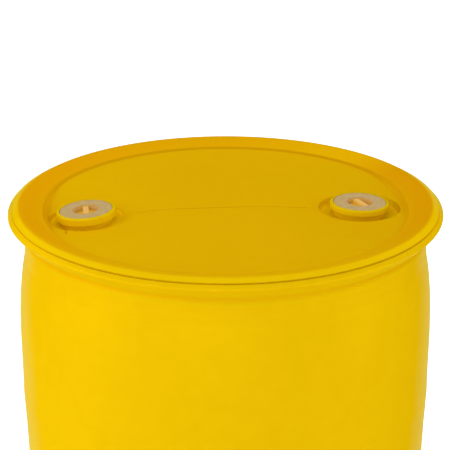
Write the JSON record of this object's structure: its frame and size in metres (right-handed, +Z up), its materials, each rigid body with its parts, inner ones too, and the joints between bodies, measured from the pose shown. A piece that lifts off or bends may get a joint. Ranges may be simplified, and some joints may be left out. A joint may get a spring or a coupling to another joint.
{
  "type": "closed-head plastic drum",
  "caption": "Yellow blow-moulded closed-head drum with a handling ring, recessed head, foot ring and screw plugs that seal on gaskets.",
  "frame": {"origin": "centre of the floor plane under the foot ring", "axes": "+Z up along the drum's axis, +X from the drum's axis towards the buttress neck, -X towards the fine-threaded neck"},
  "size_m": [0.596, 0.5958, 0.9],
  "materials": {
    "drum_polyethylene": "satin moulded",
    "plug_natural": "satin moulded, translucent natural",
    "gasket_rubber": "matte"
  },
  "bodies": {
    "drum": {"drum_shell": "drum_polyethylene"},
    "nps_gasket": {"nps_gasket": "gasket_rubber"},
    "nps_plug": {"nps_plug": "plug_natural"},
    "buttress_gasket": {"buttress_gasket": "gasket_rubber"},
    "buttress_plug": {"buttress_plug": "plug_natural"}
  },
  "joints": [
    {"name": "nps_plug_lift", "type": "slide", "parent": "drum", "child": "nps_gasket", "axis": [-0.0872, 0, 0.9962], "range_m": [0, 0.01998]},
    {"name": "nps_plug_turn", "type": "hinge", "parent": "nps_gasket", "child": "nps_plug", "pos_m": [-0.191, 0, 0.8924], "axis": [-0.0872, 0, 0.9962], "range_deg": [0, 3240]},
    {"name": "buttress_plug_lift", "type": "slide", "parent": "drum", "child": "buttress_gasket", "axis": [0.0349, 0, 0.9994], "range_m": [0, 0.02042]},
    {"name": "buttress_plug_turn", "type": "hinge", "parent": "buttress_gasket", "child": "buttress_plug", "pos_m": [0.185, 0, 0.8914], "axis": [0.0349, 0, 0.9994], "range_deg": [0, 1440]}
  ],
  "couplings": [
    {"joint": "nps_plug_lift", "follows": "nps_plug_turn", "m_per_rad": 0.00035152},
    {"joint": "buttress_plug_lift", "follows": "buttress_plug_turn", "m_per_rad": 0.00080851}
  ]
}
